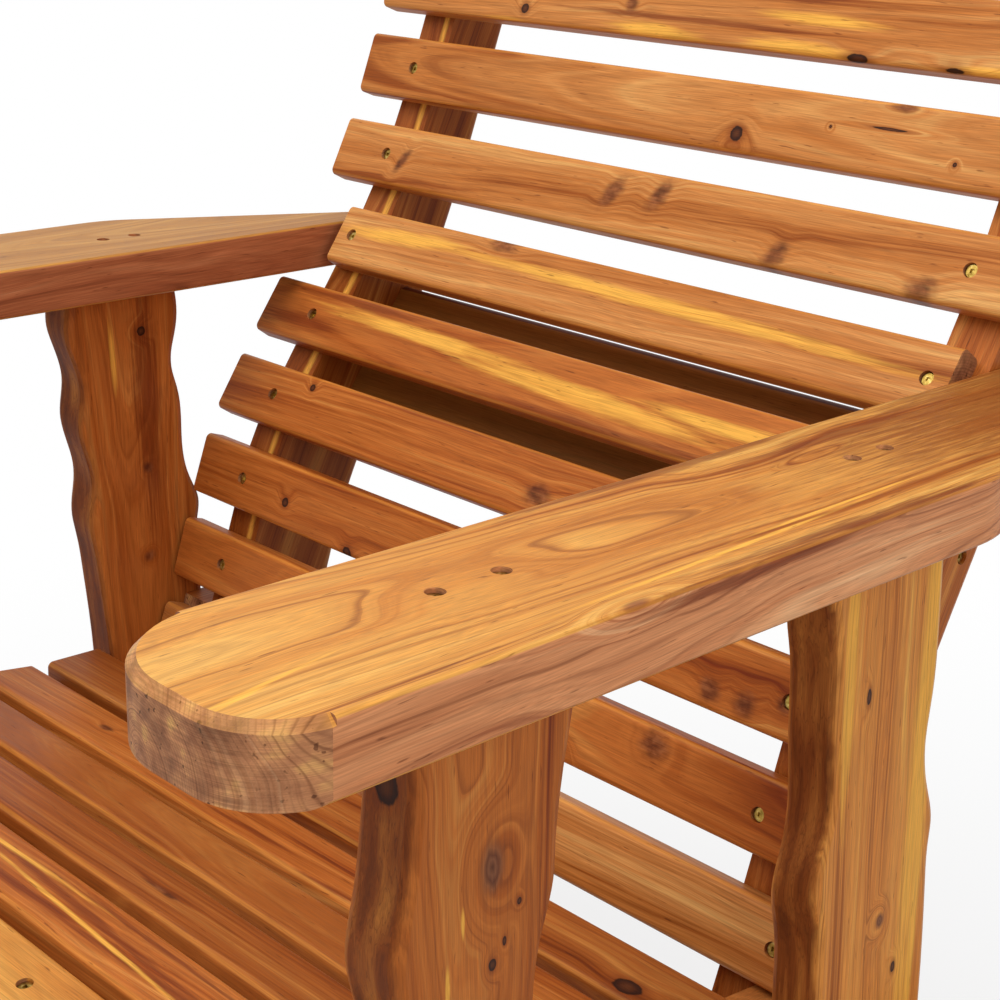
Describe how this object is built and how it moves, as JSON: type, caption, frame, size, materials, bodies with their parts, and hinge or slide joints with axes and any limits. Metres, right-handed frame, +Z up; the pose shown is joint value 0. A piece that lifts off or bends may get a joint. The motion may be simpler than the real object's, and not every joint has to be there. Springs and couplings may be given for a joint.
{
  "type": "slat back glider",
  "caption": "Cedar glider chair with a curved slat back and seat, broad flat arms and live-edge posts, hung on steel links from a low sled base so the seat swings level.",
  "frame": {"origin": "on the floor under the middle of the base", "axes": "+Z up, -Y towards the front of the chair, +X towards the sitter's left-hand arm"},
  "size_m": [0.9, 0.8503, 0.9544],
  "materials": {
    "cedar_slat": "oiled red cedar, planed and edge-rounded, satin",
    "cedar_arm": "oiled red cedar plank, planed, satin",
    "cedar_live_edge": "oiled red cedar with live edges, satin",
    "cedar_frame": "oiled red cedar, sawn to shape, satin",
    "cedar_base": "oiled red cedar, planed, satin",
    "screw_zinc": "yellow zinc plated",
    "bolt_zinc": "zinc plated",
    "link_steel": "zinc plated flat bar",
    "bushing_brass": "plain bearing bronze"
  },
  "bodies": {
    "base": {"base_dowels": "cedar_base", "base_leg_front_left": "cedar_base", "base_leg_front_right": "cedar_base", "base_leg_rear_left": "cedar_base", "base_leg_rear_right": "cedar_base", "base_screws": "screw_zinc", "base_stretcher_front": "cedar_base", "base_stretcher_rear": "cedar_base", "base_top_rail_left": "cedar_base", "base_top_rail_right": "cedar_base", "sled_left": "cedar_base", "sled_right": "cedar_base", "upper_pivot_bolts": "bolt_zinc", "upper_pivot_nuts_and_washers": "bolt_zinc"},
    "link_front_left": {"link_bushings_front_left": "bushing_brass", "link_front_left": "link_steel"},
    "link_front_right": {"link_bushings_front_right": "bushing_brass", "link_front_right": "link_steel"},
    "link_rear_left": {"link_bushings_rear_left": "bushing_brass", "link_rear_left": "link_steel"},
    "link_rear_right": {"link_bushings_rear_right": "bushing_brass", "link_rear_right": "link_steel"},
    "seat": {"arm_left": "cedar_arm", "arm_right": "cedar_arm", "arm_screws": "screw_zinc", "back_cross_rail": "cedar_frame", "back_slat_1": "cedar_slat", "back_slat_2": "cedar_slat", "back_slat_3": "cedar_slat", "back_slat_4": "cedar_slat", "back_slat_5": "cedar_slat", "back_slat_6": "cedar_slat", "back_slat_7": "cedar_slat", "back_slat_8": "cedar_slat", "back_slat_9": "cedar_slat", "back_slat_screws": "screw_zinc", "back_upright_left": "cedar_frame", "back_upright_right": "cedar_frame", "frame_bolts": "bolt_zinc", "frame_nuts_and_washers": "bolt_zinc", "frame_screws": "screw_zinc", "front_post_left": "cedar_live_edge", "front_post_right": "cedar_live_edge", "lower_pivot_bolts": "bolt_zinc", "lower_pivot_nuts_and_spacers": "bolt_zinc", "rear_post_left": "cedar_live_edge", "rear_post_right": "cedar_live_edge", "seat_rail_left": "cedar_frame", "seat_rail_right": "cedar_frame", "seat_slat_1": "cedar_slat", "seat_slat_2": "cedar_slat", "seat_slat_3": "cedar_slat", "seat_slat_4": "cedar_slat", "seat_slat_5": "cedar_slat", "seat_slat_6": "cedar_slat", "seat_slat_screws": "screw_zinc", "seat_stretcher_front": "cedar_frame", "seat_stretcher_rear": "cedar_frame"}
  },
  "joints": [
    {"name": "glide", "type": "hinge", "parent": "base", "child": "link_front_left", "pos_m": [-0.4072, -0.258, 0.283], "axis": [1, 0, 0], "range_deg": [-20, 20]},
    {"name": "swing_front_right", "type": "hinge", "parent": "base", "child": "link_front_right", "pos_m": [0.4072, -0.258, 0.283], "axis": [1, 0, 0], "range_deg": [-20, 20]},
    {"name": "swing_rear_left", "type": "hinge", "parent": "base", "child": "link_rear_left", "pos_m": [-0.4072, 0.066, 0.283], "axis": [1, 0, 0], "range_deg": [-20, 20]},
    {"name": "swing_rear_right", "type": "hinge", "parent": "base", "child": "link_rear_right", "pos_m": [0.4072, 0.066, 0.283], "axis": [1, 0, 0], "range_deg": [-20, 20]},
    {"name": "seat_level", "type": "hinge", "parent": "link_front_left", "child": "seat", "pos_m": [-0.4072, -0.258, 0.118], "axis": [1, 0, 0], "range_deg": [-20, 20]}
  ],
  "couplings": [
    {"joint": "swing_front_right", "follows": "glide", "ratio": 1},
    {"joint": "swing_rear_left", "follows": "glide", "ratio": 1},
    {"joint": "swing_rear_right", "follows": "glide", "ratio": 1},
    {"joint": "seat_level", "follows": "glide", "ratio": -1}
  ]
}
